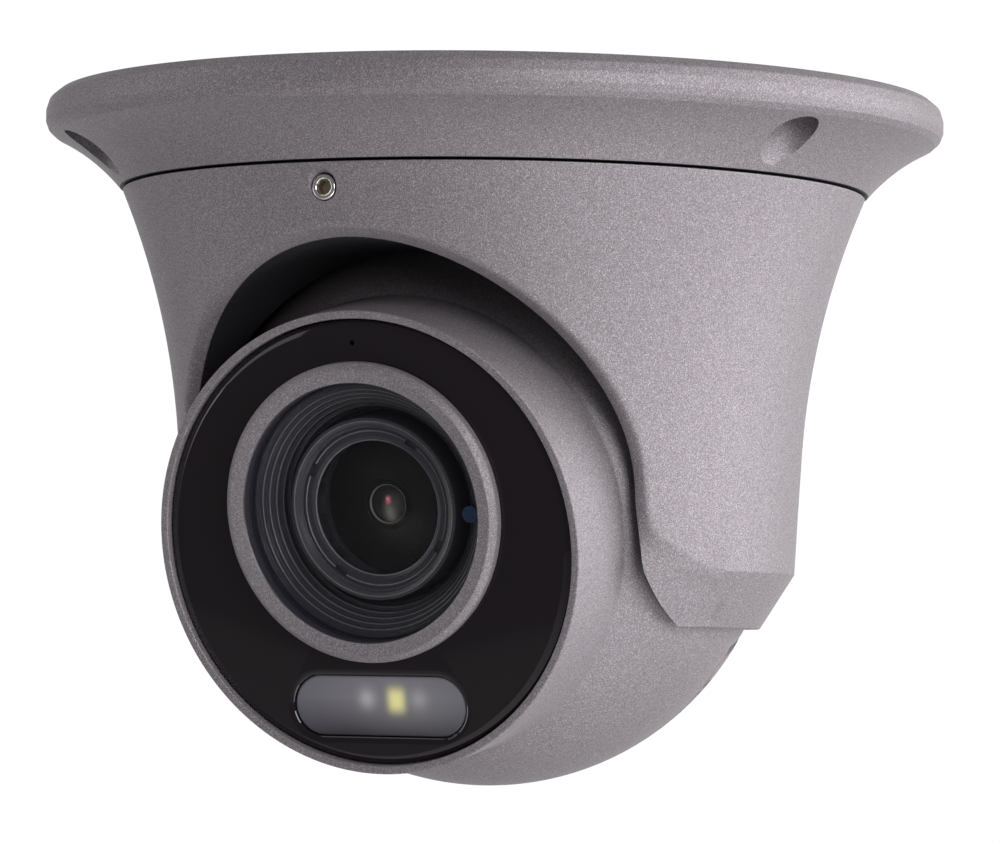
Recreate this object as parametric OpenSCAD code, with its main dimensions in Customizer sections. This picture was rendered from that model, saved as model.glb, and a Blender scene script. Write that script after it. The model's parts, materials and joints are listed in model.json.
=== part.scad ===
// Turret dome camera for ceiling mounting: flanged base, panning trim cover and an eyeball
// head that tilts and rolls in a yoke. Millimetres, +Z up into the ceiling, front faces -Y.
// Origin: centre of the three ceiling bolts on the flat mounting face.

/* [Base] */
// Largest diameter of the ceiling flange
flange_d = 145; // [130:1:160]
// Height from the mounting face to the seam with the cover
base_h = 14.8; // [12:0.1:18]
// Pitch circle diameter of the ceiling bolt holes
bolt_pcd = 131.6; // [120:0.2:136]
// Diameter of each ceiling bolt hole
bolt_hole_d = 4.8; // [4:0.1:6]
// Diameter of the pocket that hides a bolt head
bolt_pocket_d = 8.8; // [7:0.1:11]
// Turn of the bolt holes about the vertical axis, from the front
bolt_turn = -50.5; // [-60:0.5:60]
// Diameter of the cable hole in the grommet
cable_hole_d = 16; // [8:0.5:20]

/* [Cover] */
// Height of the cover's lower rim under the mounting face
cover_bottom = 84.7; // [80:0.1:90]
// Wall thickness of the cover
cover_wall = 2.6; // [2:0.1:4]
// Half width of the front arch
arch_r = 38.1; // [36.8:0.1:39]
// Turn of the arch from the eyeball's own front
arch_turn = 1.5; // [0:0.1:3]

/* [Eyeball] */
// Radius of the eyeball
ball_r = 46.1; // [44:0.1:48]
// Depth of the eyeball's centre under the mounting face
ball_drop = 64.3; // [60:0.1:68]
// Angle of the lens axis below the horizontal, as stored
rest_tilt = 11; // [0:0.5:20]
// Radius of the snout that carries the front glass
snout_r = 36.2; // [34:0.1:36.4]
// Distance from the eyeball's centre to the front rim
snout_len = 43.7; // [40:0.1:46]
// Wall thickness of the eyeball
ball_wall = 2.5; // [2:0.1:4]

/* [Front glass and lens] */
// Radius of the dark front glass
glass_r = 34.7; // [33:0.1:35]
// Height of the lens axis above the middle of the front glass
lens_up = 4.9; // [3:0.1:7]
// Outer radius of the raised ring around the lens
ring_r = 23.4; // [22:0.1:25]
// Inner radius of the raised ring around the lens
ring_in_r = 20.1; // [18:0.1:21]
// Outer radius of the lens barrel's front
barrel_r = 14.3; // [12:0.1:15]
// Radius of the front lens element that shows
element_r = 10.5; // [8:0.1:12]

/* [Lamp window] */
// Length of the lamp window
lamp_l = 29.6; // [24:0.1:34]
// Height of the lamp window
lamp_h = 9.4; // [7:0.1:12]
// Distance of the lamp window below the middle of the glass
lamp_down = 25.6; // [23:0.1:27]

/* [Service bay] */
// Length of the service cover
service_l = 20; // [16:0.5:21]
// Width of the service cover
service_w = 12.6; // [10:0.2:13]

/* [Hidden] */
flange_r = flange_d / 2;
base_z = -base_h;
ball_z = -ball_drop;
cover_z = base_z - 0.3;
rim_z = -cover_bottom;
bolt_r = bolt_pcd / 2;
spigot_r = 54.6;
spigot_z = -22.4;
hollow_r = 51.4;
plate_t = 4.2;
lock_z = -18.9;
bell_r = 125;
bell_x = 175.1;
bell_z = -64.06;
skirt_z = -58;
bell_steps = 22;
chamfer_z = -75.9;
chamfer_r = 49.3;
lower_r = 43.8;
gap = 0.4;
seat_r = ball_r + gap;
yoke_in = ball_r + 0.4;
yoke_out = ball_r + 1;
yoke_w = 6.4;
yoke_face = -40;
back_z = -37;
friction_end = 62;
hub_r = 10;
pin_r = 1.5;
glass_z = 43.2;
glass_t = 1.8;
ledge_z = 41;
ledge_r = 33;
ring_top = 45.6;
service_z = 44.6;
notch_l = 10;
notch_w = 2.3;
service_polar = 106.3;
service_turn = -43.1;
round = 128;
fine = 48;

// ---- shared geometry ----

// Places children in the eyeball: +Z along the lens, +Y to the top of the face
module eye_frame() {
    translate([0, 0, ball_z])
        rotate([90 + rest_tilt, 0, 0])
            children();
}

// Places children on the lens axis
module lens_frame() {
    eye_frame()
        translate([0, lens_up, 0])
            children();
}

// Places children over the service bay: +Z out of the eyeball
module service_frame() {
    eye_frame()
        rotate([0, 0, service_turn])
            rotate([0, service_polar, 0])
                children();
}

// Three copies at the ceiling bolts
module at_bolts() {
    for (a = [0, 120, 240])
        rotate([0, 0, bolt_turn + a])
            translate([0, -bolt_r, 0])
                children();
}

// Ring between two radii, from z0 up to z1
module ring(r_out, r_in, z0, z1) {
    translate([0, 0, z0])
        difference() {
            cylinder(r = r_out, h = z1 - z0, $fn = round);
            translate([0, 0, -1])
                cylinder(r = r_in, h = z1 - z0 + 2, $fn = round);
        }
}

// Flat bar with round ends, centred, from z0 up to z1
module pill(l, w, z0, z1) {
    translate([0, 0, z0]) {
        for (s = [-1, 1])
            translate([s * (l - w) / 2, 0, 0])
                cylinder(d = w, h = z1 - z0, $fn = fine);
        translate([-(l - w) / 2, -w / 2, 0])
            cube([l - w, w, z1 - z0]);
    }
}

// Plate with round corners, centred, from z0 up to z1
module slab(l, w, r, z0, z1) {
    translate([0, 0, z0]) {
        for (sx = [-1, 1], sy = [-1, 1])
            translate([sx * (l / 2 - r), sy * (w / 2 - r), 0])
                cylinder(r = r, h = z1 - z0, $fn = fine);
        translate([-l / 2, -w / 2 + r, 0])
            cube([l, w - 2 * r, z1 - z0]);
        translate([-l / 2 + r, -w / 2, 0])
            cube([l - 2 * r, w, z1 - z0]);
    }
}

// Screw with a domed head on z = 0 and its shank below
module pan_screw(shank_r, shank_l, head_r, head_h) {
    difference() {
        union() {
            cylinder(r = head_r, h = head_h * 0.6, $fn = fine);
            translate([0, 0, head_h * 0.6])
                cylinder(r1 = head_r, r2 = head_r * 0.7, h = head_h * 0.4, $fn = fine);
            translate([0, 0, -shank_l])
                cylinder(r = shank_r, h = shank_l + 0.1, $fn = fine);
        }
        for (a = [0, 90])
            rotate([0, 0, a])
                translate([-head_r * 0.55, -head_r * 0.11, head_h * 0.45])
                    cube([head_r * 1.1, head_r * 0.22, head_h]);
    }
}

// ---- base ----

// Outline of the flange and its spigot, radius against height
module flange_outline() {
    difference() {
        polygon([[0, 0], [flange_r - 2.2, 0], [flange_r - 1.2, -0.5], [flange_r - 0.4, -1.5],
            [flange_r, -2.9], [flange_r, -4.6], [flange_r - 0.4, -5.8], [flange_r - 1.4, -6.6],
            [flange_r - 1.4, base_z], [spigot_r, base_z], [spigot_r, spigot_z],
            [hollow_r, spigot_z], [hollow_r, -plate_t], [0, -plate_t]]);
        translate([84.95, -35.45])
            circle(r = 32, $fn = 256);
    }
}

// Lightening pocket in the ceiling side, between two bolts
module flange_pocket() {
    rotate_extrude(angle = 84, $fn = round)
        translate([56.5, -9.5])
            square([6, 9.5]);
}

module base_flange() {
    color([0.42, 0.42, 0.43])
        difference() {
            rotate_extrude($fn = round)
                flange_outline();
            ring(flange_r - 3.1, 53, -1, 1);
            translate([0, 0, -1.6])
                cylinder(r = 19, h = 3, $fn = round);
            translate([0, 0, -plate_t - 1])
                cylinder(r = 14, h = plate_t + 2, $fn = round);
            for (a = [0, 120, 240])
                rotate([0, 0, bolt_turn + a - 72])
                    flange_pocket();
            at_bolts() {
                translate([0, 0, -plate_t - 1])
                    cylinder(d = bolt_hole_d, h = plate_t + 2, $fn = fine);
                translate([0, 0, -30])
                    cylinder(d = bolt_pocket_d, h = 30 - plate_t, $fn = fine);
            }
            lock_groove();
        }
}

// Groove round the spigot for the tip of the lock screw
module lock_groove() {
    ring(spigot_r + 1, spigot_r - 1.5, lock_z - 2.3, lock_z + 2.3);
}

module base_gasket() {
    color([0.12, 0.12, 0.12])
        difference() {
            ring(flange_r - 3.1, 53, -1, 0);
            at_bolts()
                translate([0, 0, -2])
                    cylinder(d = bolt_hole_d, h = 4, $fn = fine);
        }
}

module cable_grommet() {
    color([0.08, 0.08, 0.08])
        difference() {
            union() {
                ring(18.5, cable_hole_d / 2, -1.6, -0.2);
                ring(14, cable_hole_d / 2, -plate_t - 0.2, -1.4);
                ring(16.5, cable_hole_d / 2, -plate_t - 2.2, -plate_t);
            }
            translate([0, 0, -plate_t - 3])
                cylinder(d = cable_hole_d, h = plate_t + 4, $fn = round);
        }
}

// ---- trim cover ----

// Points on the bell's wall from the skirt up to height top, sunk by depth
function bell_points(top, depth) =
    [for (i = [0:bell_steps])
        let (z = skirt_z + (top - skirt_z) * i / bell_steps)
        [bell_x - sqrt(pow(bell_r + depth, 2) - pow(z - bell_z, 2)), z]];

// Outside of the bell, radius against height
module bell_outline() {
    polygon(concat([[38, rim_z], [lower_r, rim_z], [chamfer_r, chamfer_z]],
        bell_points(cover_z - 0.3, 0), [[59.7, cover_z], [38, cover_z]]));
}

// Space inside the bell, radius against height
module bell_hollow() {
    polygon(concat([[0, -76], [47.5, -76], [47.5, skirt_z - 4]], bell_points(-24, cover_wall),
        [[spigot_r + 0.05, -24], [spigot_r + 0.05, cover_z + 1], [0, cover_z + 1]]));
}

// Through cut of the arch, half width r, down to below the rim
module arch_cut(r) {
    translate([0, 0, ball_z])
        rotate([90, 0, arch_turn]) {
            translate([0, 0, 12])
                cylinder(r = r, h = 78, $fn = round);
            translate([0, 0, 12.5])
                linear_extrude(height = 77)
                    polygon([[-r * cos(7), -r * sin(7)], [0, -2], [r * cos(7), -r * sin(7)],
                        [r + 1.3, -24], [-r - 1.3, -24]]);
        }
}

// Posts inside the bell that take the retainer's screws
post_turns = [75, 180, 285];
module retainer_posts() {
    for (a = post_turns)
        rotate([0, 0, a])
            translate([0, -48.2, -37])
                cylinder(r = 3.4, h = 10.1, $fn = fine);
}

module trim_cover() {
    color([0.42, 0.42, 0.43])
        difference() {
            union() {
                difference() {
                    rotate_extrude($fn = round)
                        bell_outline();
                    rotate_extrude($fn = round)
                        bell_hollow();
                    translate([0, 0, ball_z])
                        sphere(r = seat_r, $fn = round);
                }
                retainer_posts();
            }
            arch_cut(arch_r);
            translate([0, -50, lock_z])
                rotate([90, 0, 0])
                    cylinder(r = 2, h = 14, $fn = fine);
            for (a = post_turns)
                rotate([0, 0, a])
                    translate([0, -48.2, -34])
                        cylinder(r = 1.2, h = 10, $fn = fine);
            translate([-49, 0, ball_z])
                rotate([0, 90, 0])
                    cylinder(r = pin_r, h = 98, $fn = fine);
            ring(57.6, 56.2, cover_z - 1.2, cover_z + 1);
        }
}

module pan_seal() {
    color([0.05, 0.05, 0.05])
        ring(57.6, 56.2, cover_z - 1.2, cover_z + 0.1);
}

// Set screw with a hexagon socket, through the front of the cover
module lock_screw() {
    color([0.75, 0.75, 0.76])
        translate([0, -53.7, lock_z])
            rotate([90, 0, 0])
                difference() {
                    union() {
                        translate([0, 0, 0.8])
                            cylinder(r = 1.98, h = 3.6, $fn = fine);
                        cylinder(r1 = 1.2, r2 = 1.98, h = 0.8, $fn = fine);
                        translate([0, 0, 4.4])
                            cylinder(r1 = 1.98, r2 = 1.75, h = 0.3, $fn = fine);
                    }
                    translate([0, 0, 2.9])
                        cylinder(d = 2.31, h = 3, $fn = 6);
                }
}

// Outline of the ring that keeps the eyeball down, radius against height
module retainer_outline() {
    intersection() {
        difference() {
            translate([0, ball_z])
                circle(r = 49.7, $fn = 256);
            translate([0, ball_z])
                circle(r = 47.5, $fn = 256);
        }
        translate([27, -38])
            square([24, 13.6]);
    }
    translate([30.5, -26.9])
        square([22.3, 2.4]);
}

module ball_retainer() {
    color([0.06, 0.06, 0.06])
        difference() {
            rotate_extrude($fn = round)
                retainer_outline();
            arch_cut(arch_r + 0.4);
            for (a = post_turns)
                rotate([0, 0, a])
                    translate([0, -48.2, -30])
                        cylinder(r = 1.6, h = 10, $fn = fine);
            for (a = [125, 155, 205, 235])
                rotate([0, 0, a])
                    translate([0, -43, -30])
                        cylinder(r = 3, h = 10, $fn = fine);
        }
}

module retainer_screws() {
    color([0.7, 0.7, 0.72])
        for (a = post_turns)
            rotate([0, 0, a])
                translate([0, -48.2, -24.5])
                    pan_screw(1.2, 9, 2.6, 1.6);
}

// Soft strip in the lower seat that the eyeball rubs on
module friction_ring() {
    color([0.1, 0.1, 0.1])
        rotate([0, 0, friction_end - 90])
            rotate_extrude(angle = 360 - 2 * friction_end, $fn = round)
                difference() {
                    translate([40, -76])
                        square([7.5, 7]);
                    translate([0, ball_z])
                        circle(r = ball_r + 0.3, $fn = 256);
                }
}

module pivot_pins() {
    color([0.72, 0.72, 0.74])
        for (s = [-1, 1])
            translate([s * 47.72, 0, ball_z])
                rotate([0, 90, 0])
                    cylinder(r = pin_r, h = 2.54, center = true, $fn = fine);
}

// ---- yoke ----

// Flat plate across the back of the eyeball with its stop tab and hub
module yoke_plate() {
    intersection() {
        union() {
            translate([-30, -yoke_w / 2, yoke_face])
                cube([60, yoke_w, 1]);
            translate([0, 0, yoke_face])
                cylinder(r = 14, h = 1, $fn = round);
            translate([-2.5, 0, yoke_face])
                cube([5, 18.4, 1]);
            translate([-2.5, 16.4, yoke_face])
                cube([5, 2, 2.6]);
        }
        sphere(r = yoke_out, $fn = round);
    }
}

// Arms that follow the eyeball round to the pivots
module yoke_arms() {
    intersection() {
        difference() {
            sphere(r = yoke_out, $fn = round);
            sphere(r = yoke_in, $fn = round);
        }
        union() {
            translate([-60, -yoke_w / 2, yoke_face])
                cube([120, yoke_w, -yoke_face]);
            rotate([0, 90, 0])
                cylinder(d = yoke_w, h = 120, center = true, $fn = fine);
        }
    }
}

module tilt_yoke() {
    color([0.66, 0.67, 0.68])
        eye_frame()
            difference() {
                union() {
                    yoke_plate();
                    yoke_arms();
                }
                translate([0, 0, yoke_face - 1])
                    cylinder(r = hub_r, h = 3, $fn = round);
                rotate([0, 90, 0])
                    cylinder(r = pin_r + 0.05, h = 120, center = true, $fn = fine);
            }
}

// ---- eyeball ----

// Outside of the eyeball about the lens axis
module eye_solid() {
    intersection() {
        sphere(r = ball_r, $fn = round);
        translate([0, 0, back_z])
            cylinder(r = 60, h = 100, $fn = round);
    }
    translate([0, 0, 20])
        cylinder(r = snout_r + 0.3, h = 12, $fn = round);
    translate([0, 0, 32])
        cylinder(r1 = snout_r + 0.3, r2 = snout_r, h = snout_len - 33, $fn = round);
    translate([0, 0, snout_len - 1])
        cylinder(r1 = snout_r, r2 = snout_r - 0.6, h = 1, $fn = round);
    translate([0, 0, -41.2])
        cylinder(r = hub_r - 0.05, h = 8, $fn = round);
    translate([0, -17.5, back_z - 1.4])
        cylinder(r = 1.4, h = 3, $fn = fine);
}

// Space inside the eyeball about the lens axis
module eye_space() {
    intersection() {
        sphere(r = ball_r - ball_wall, $fn = round);
        translate([0, 0, back_z + 2.5])
            cylinder(r = 60, h = ledge_z - back_z - 14.5, $fn = round);
    }
    cylinder(r = ledge_r, h = ball_r + 1, $fn = round);
    translate([0, 0, ledge_z])
        cylinder(r = glass_r + 0.2, h = 5, $fn = round);
    translate([0, 0, -50])
        cylinder(r = 6.5, h = 20, $fn = fine);
}

module eyeball_shell() {
    color([0.42, 0.42, 0.43])
        difference() {
            union() {
                difference() {
                    eye_frame()
                        eye_solid();
                    eye_frame()
                        eye_space();
                }
                service_frame()
                    intersection() {
                        translate([0, 0, 39.4])
                            cylinder(r = 12.6, h = 5, $fn = round);
                        sphere(r = ball_r - 1, $fn = round);
                    }
                eye_frame() {
                    frame_bosses();
                    board_bosses();
                }
            }
            service_frame()
                service_cuts();
            eye_frame()
                ring(hub_r + 1, hub_r - 1, -40.8, -40.1);
        }
}

// Bosses on the back wall under the board posts
module board_bosses() {
    intersection() {
        sphere(r = ball_r - 1, $fn = round);
        posts_at()
            translate([0, 0, -40])
                cylinder(r = 3.2, h = 9, $fn = fine);
    }
}

// Posts on the snout's wall for the screws of the front frame
frame_turns = [50, 130, 215, 325];
module frame_bosses() {
    for (a = frame_turns)
        rotate([0, 0, a])
            difference() {
                translate([30.2, 0, 28])
                    cylinder(r = 3, h = 9.4, $fn = fine);
                translate([30.2, 0, 29.6])
                    cylinder(r = 1, h = 10, $fn = fine);
            }
}

// Plate pocket, pry notch, opening and screw holes of the service bay
module service_cuts() {
    slab(service_l + 0.5, service_w + 0.5, 3.2, service_z - 1.7, ball_r + 1);
    translate([1.6 - notch_l, service_w / 2, service_z - 0.3])
        cube([notch_l, notch_w, 3]);
    slab(12.6, 8, 1.5, 30, 50);
    for (s = [-1, 1])
        translate([s * 8.1, 0, 40.2])
            cylinder(r = 0.8, h = 8, $fn = fine);
}

// Circlip that keeps the yoke on the hub
module hub_clip() {
    color([0.2, 0.2, 0.21])
        eye_frame()
            difference() {
                ring(hub_r + 1.9, hub_r - 0.9, -40.75, -40.15);
                translate([-2, 4, -42])
                    cube([4, 12, 3]);
            }
}

// Cable gland in the hub: flanged tube with a waist ring
module cable_gland() {
    color([0.07, 0.07, 0.07])
        eye_frame()
            difference() {
                union() {
                    ring(6.5, 3.2, -41.6, -32);
                    ring(8.6, 3.2, -43.4, -41.2);
                    ring(9, 3.2, -34.4, -32);
                }
                translate([0, 0, -50])
                    cylinder(r = 3.2, h = 30, $fn = fine);
            }
}

// ---- front glass ----

module front_frame() {
    color([0.05, 0.05, 0.05])
        eye_frame()
            difference() {
                union() {
                    ring(ledge_r - 0.2, 5, 37.5, 39.1);
                    ring(ledge_r - 0.2, ledge_r - 0.9, 37.5, 41.3);
                }
                translate([0, lens_up, 30])
                    cylinder(r = ring_r, h = 20, $fn = round);
                translate([0, -lamp_down, 0])
                    pill(lamp_l - 1, lamp_h + 1, 30, 50);
                translate([0, 30.6, 30])
                    cylinder(r = 0.8, h = 20, $fn = fine);
                for (a = frame_turns)
                    rotate([0, 0, a])
                        translate([30.2, 0, 30])
                            cylinder(r = 1.2, h = 20, $fn = fine);
            }
}

module frame_screws() {
    color([0.7, 0.7, 0.72])
        eye_frame()
            for (a = frame_turns)
                rotate([0, 0, a])
                    translate([30.2, 0, 39.1])
                        pan_screw(1, 8.5, 1.6, 1.1);
}

module glass_gasket() {
    color([0.04, 0.04, 0.04])
        eye_frame()
            ring(glass_r - 0.1, ledge_r + 0.1, ledge_z, glass_z - glass_t);
}

module face_glass() {
    color([0.03, 0.03, 0.04])
        eye_frame()
            difference() {
                union() {
                    translate([0, 0, glass_z - glass_t])
                        cylinder(r = glass_r, h = glass_t - 0.6, $fn = round);
                    translate([0, 0, glass_z - 0.6])
                        cylinder(r1 = glass_r, r2 = glass_r - 0.9, h = 0.6, $fn = round);
                }
                translate([0, lens_up, 30])
                    cylinder(r = ring_r - 1.2, h = 20, $fn = round);
                translate([0, -lamp_down, 0])
                    pill(lamp_l + 0.1, lamp_h + 0.1, 30, 50);
                translate([0, -lamp_down, glass_z - 0.35])
                    pill(lamp_l + 1.7, lamp_h + 1.7, 0, 2);
                translate([0, 31.1, 30])
                    cylinder(r = 0.45, h = 20, $fn = fine);
            }
}

module lens_ring() {
    color([0.45, 0.45, 0.46])
        lens_frame()
            rotate_extrude($fn = round)
                polygon([[ring_in_r, 37.6], [ring_in_r + 1.4, 37.6], [ring_in_r + 1.4, glass_z + 0.05],
                    [ring_r, glass_z + 0.05], [ring_r, ring_top - 1], [ring_r - 0.35, ring_top - 0.4],
                    [ring_r - 1, ring_top - 0.05], [ring_r - 1.7, ring_top], [ring_in_r + 0.9, ring_top],
                    [ring_in_r + 0.3, ring_top - 0.15], [ring_in_r, ring_top - 0.5],
                    [ring_in_r, 43.6], [ring_in_r + 0.5, 43.6], [ring_in_r + 0.5, 42.2],
                    [ring_in_r, 42.2]]);
}

// Nut behind the glass that pulls the lens ring tight
module ring_nut() {
    color([0.5, 0.5, 0.52])
        lens_frame()
            difference() {
                ring(ring_in_r + 3.4, ring_in_r + 1.4, glass_z - glass_t - 1.6, glass_z - glass_t);
                for (a = [0, 90, 180, 270])
                    rotate([0, 0, a])
                        translate([ring_in_r + 2.7, -1, glass_z - glass_t - 2])
                            cube([3, 2, 1.4]);
            }
}

module lens_window() {
    color([0.85, 0.9, 0.95, 0.15])
        lens_frame()
            translate([0, 0, 42.4])
                cylinder(r = ring_in_r + 0.4, h = 1.2, $fn = round);
}

// Stepped black funnel between the window and the lens barrel
module lens_baffle() {
    color([0.03, 0.03, 0.04])
        lens_frame()
            difference() {
                rotate_extrude($fn = round)
                    polygon([[15, 34.2], [16.4, 34.2], [16.4, 36.4], [ring_in_r - 0.1, 37.6],
                        [ring_in_r - 0.1, 42.2], [ring_in_r - 0.7, 42.2], [ring_in_r - 0.7, 41.4],
                        [ring_in_r - 1.5, 41.4], [ring_in_r - 1.5, 40.5], [ring_in_r - 2.3, 40.5],
                        [ring_in_r - 2.3, 39.6], [ring_in_r - 3.1, 39.6], [ring_in_r - 3.1, 38.7],
                        [ring_in_r - 3.9, 38.7], [ring_in_r - 3.9, 37.8], [ring_in_r - 4.6, 37.8],
                        [ring_in_r - 4.6, 36.9], [15, 36.9]]);
                translate([16.8, -0.8, 35])
                    cylinder(r = 1.35, h = 8, $fn = fine);
            }
}

// ---- lamp and sensors behind the glass ----

module led_window() {
    color([0.75, 0.78, 0.8, 0.5])
        eye_frame()
            translate([0, -lamp_down, 0])
                pill(lamp_l, lamp_h, glass_z - glass_t, glass_z - 0.35);
}

module led_reflector() {
    color([0.75, 0.75, 0.76])
        eye_frame()
            translate([0, -lamp_down, 0])
                difference() {
                    pill(lamp_l - 1.4, lamp_h + 0.6, 37.6, glass_z - glass_t);
                    pill(lamp_l - 3, lamp_h - 1, 38.4, glass_z);
                    pill(14, 5, 37, 40);
                }
}

module led_board() {
    color([0.1, 0.3, 0.16])
        eye_frame()
            intersection() {
                ring(29.5, 5, 36, 37.2);
                translate([-21, -30, 30])
                    cube([42, 12.6, 10]);
                translate([0, 0, 30])
                    difference() {
                        cylinder(r = 40, h = 10, $fn = round);
                        translate([0, lens_up, -1])
                            cylinder(r = 22.6, h = 12, $fn = round);
                    }
            }
}

module white_led() {
    color([0.95, 0.9, 0.5])
        eye_frame()
            translate([0, 0.4 - lamp_down, 0])
                slab(2.8, 3.5, 0.3, 37.2, 38.6);
}

module ir_leds() {
    color([0.85, 0.87, 0.9, 0.7])
        eye_frame()
            for (s = [-1, 1])
                translate([s * 4.6, 0.4 - lamp_down, 37.2]) {
                    slab(3, 3, 0.3, 0, 0.9);
                    translate([0, 0, 0.9])
                        cylinder(r1 = 1.2, r2 = 0.7, h = 0.7, $fn = fine);
                }
}

module microphone() {
    color([0.8, 0.7, 0.4])
        eye_frame()
            translate([0, 30.6, 0])
                slab(3.2, 2, 0.3, 39.1, 40.9);
}

module light_sensor() {
    color([0.15, 0.3, 0.6])
        lens_frame()
            translate([16.8, -0.8, 36.4])
                cylinder(r = 1.3, h = 4.3, $fn = fine);
}

// ---- motor zoom lens ----

module lens_body() {
    color([0.07, 0.07, 0.07])
        lens_frame()
            difference() {
                union() {
                    ring(16.2, 12.9, 7, 31.5);
                    translate([0, 0, 4.6])
                        slab(34, 30, 2, 0, 2.6);
                    for (a = [40, 220])
                        rotate([0, 0, a])
                            translate([20.6, 0, 4.8])
                                ring(6, 4.3, 0, 6);
                }
                translate([0, 0, 4])
                    cylinder(r = 7, h = 4, $fn = round);
                for (a = [40, 220])
                    rotate([0, 0, a])
                        translate([20.6, 0, 7.1])
                            cylinder(r = 4.3, h = 8, $fn = fine);
                for (sx = [-1, 1], sy = [-1, 1])
                    translate([sx * 14.6, sy * 12.6, 4])
                        cylinder(r = 1.05, h = 5, $fn = fine);
            }
}

module lens_barrel() {
    color([0.06, 0.06, 0.07])
        lens_frame()
            rotate_extrude($fn = round)
                polygon([[12.4, 31.5], [14.6, 31.5], [14.6, 33], [barrel_r, 33.4], [barrel_r, 40.1],
                    [barrel_r - 0.4, 40.5], [barrel_r - 1, 40.5], [12.9, 39.6], [12.6, 39.6],
                    [12.6, 34.6], [11.4, 34.6], [11.4, 31.5]]);
}

module lens_retaining_ring() {
    color([0.05, 0.05, 0.05])
        lens_frame()
            difference() {
                rotate_extrude($fn = round)
                    polygon([[element_r + 0.6, 38.45], [12.6, 38.45], [12.6, 39.5],
                        [element_r + 0.7, 39.5], [element_r, 39], [element_r, 38.75]]);
                for (a = [20, 200])
                    rotate([0, 0, a])
                        translate([11.6, -0.8, 38.9])
                            cube([3, 1.6, 2]);
            }
}

// Front lens element, domed towards the scene
module front_element() {
    color([0.5, 0.55, 0.75, 0.3])
        lens_frame()
            intersection() {
                translate([0, 0, 34.6])
                    cylinder(r = 12.5, h = 6, $fn = round);
                translate([0, 0, 39.85 - 42])
                    sphere(r = 42, $fn = round);
                difference() {
                    cylinder(r = 20, h = 60, $fn = round);
                    translate([0, 0, 35.6 - 13])
                        sphere(r = 13.6, $fn = round);
                }
            }
}

module aperture_stop() {
    color([0.02, 0.02, 0.02])
        lens_frame()
            rotate_extrude($fn = round)
                polygon([[3.2, 31.6], [3.8, 31.5], [11.4, 31.5], [11.4, 32.6], [7, 32.6], [3.2, 31.9]]);
}

module zoom_carriage() {
    color([0.1, 0.1, 0.1])
        lens_frame()
            difference() {
                ring(12.2, 7.6, 19, 25);
                rods_at()
                    cylinder(r = 0.95, h = 40, $fn = fine);
            }
}

module zoom_lens() {
    color([0.6, 0.65, 0.8, 0.3])
        lens_frame()
            translate([0, 0, 20.5])
                cylinder(r = 7.6, h = 3, $fn = round);
}

module focus_carriage() {
    color([0.1, 0.1, 0.1])
        lens_frame()
            difference() {
                ring(12.2, 6.1, 10, 14);
                rods_at()
                    cylinder(r = 0.95, h = 40, $fn = fine);
            }
}

module focus_lens() {
    color([0.6, 0.65, 0.8, 0.3])
        lens_frame()
            translate([0, 0, 10.9])
                cylinder(r = 6.1, h = 2.2, $fn = round);
}

// Places children on the two guide rods
module rods_at() {
    for (a = [90, 270])
        rotate([0, 0, a])
            translate([10, 0, 0])
                children();
}

module guide_rods() {
    color([0.75, 0.76, 0.78])
        lens_frame()
            rods_at()
                translate([0, 0, 7.2])
                    cylinder(r = 0.9, h = 24.3, $fn = fine);
}

// Stepper motor with its lead screw
module motor(a) {
    rotate([0, 0, a])
        translate([20.6, 0, 0]) {
            translate([0, 0, 7.2])
                cylinder(r = 4.2, h = 8.8, $fn = fine);
            translate([0, 0, 16])
                cylinder(r = 0.8, h = 10, $fn = fine);
            translate([0, 0, 25])
                cylinder(r = 1.6, h = 1.6, $fn = fine);
        }
}

module zoom_motor() {
    color([0.6, 0.6, 0.62])
        lens_frame()
            motor(40);
}

module focus_motor() {
    color([0.6, 0.6, 0.62])
        lens_frame()
            motor(220);
}

// Frame behind the lens with the slot its filter slides in
module ir_cut_housing() {
    color([0.08, 0.08, 0.08])
        lens_frame()
            difference() {
                slab(34, 22, 2, 0.4, 4.6);
                translate([-10, -6.2, 1.6])
                    cube([24, 12.4, 1.8]);
                translate([0, 0, -1])
                    cylinder(r = 5, h = 8, $fn = round);
            }
}

module ir_cut_filter() {
    color([0.75, 0.3, 0.35, 0.5])
        lens_frame()
            translate([-9.6, -6, 1.7])
                cube([16, 12, 1.6]);
}

module ir_cut_coil() {
    color([0.6, 0.35, 0.2])
        lens_frame()
            translate([0, 18.6, 1.6])
                rotate([0, 90, 0])
                    difference() {
                        cylinder(r = 2.6, h = 12, center = true, $fn = fine);
                        cylinder(r = 1.2, h = 20, center = true, $fn = fine);
                    }
}

module image_sensor() {
    color([0.15, 0.17, 0.25])
        lens_frame()
            slab(12, 10, 0.4, -1.2, 0.2);
}

module sensor_board() {
    color([0.1, 0.3, 0.16])
        lens_frame()
            difference() {
                slab(36, 32, 2, -2.8, -1.2);
                for (sx = [-1, 1], sy = [-1, 1])
                    translate([sx * 14.6, sy * 12.6, -4])
                        cylinder(r = 1.05, h = 5, $fn = fine);
            }
}

// Four long screws that hold the lens to the sensor board
module lens_screws() {
    color([0.7, 0.7, 0.72])
        lens_frame()
            for (sx = [-1, 1], sy = [-1, 1])
                translate([sx * 14.6, sy * 12.6, -2.8])
                    rotate([180, 0, 0])
                        pan_screw(1, 9.4, 1.9, 1.2);
}

// ---- boards ----

module main_board() {
    color([0.1, 0.3, 0.16])
        eye_frame()
            difference() {
                translate([0, 0, -12.6])
                    cylinder(r = 31, h = 1.6, $fn = round);
                posts_at()
                    cylinder(r = 1.3, h = 60, center = true, $fn = fine);
            }
}

// Places children on the three board posts
module posts_at() {
    for (a = [90, 210, 330])
        rotate([0, 0, a])
            translate([27, 0, 0])
                children();
}

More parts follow.
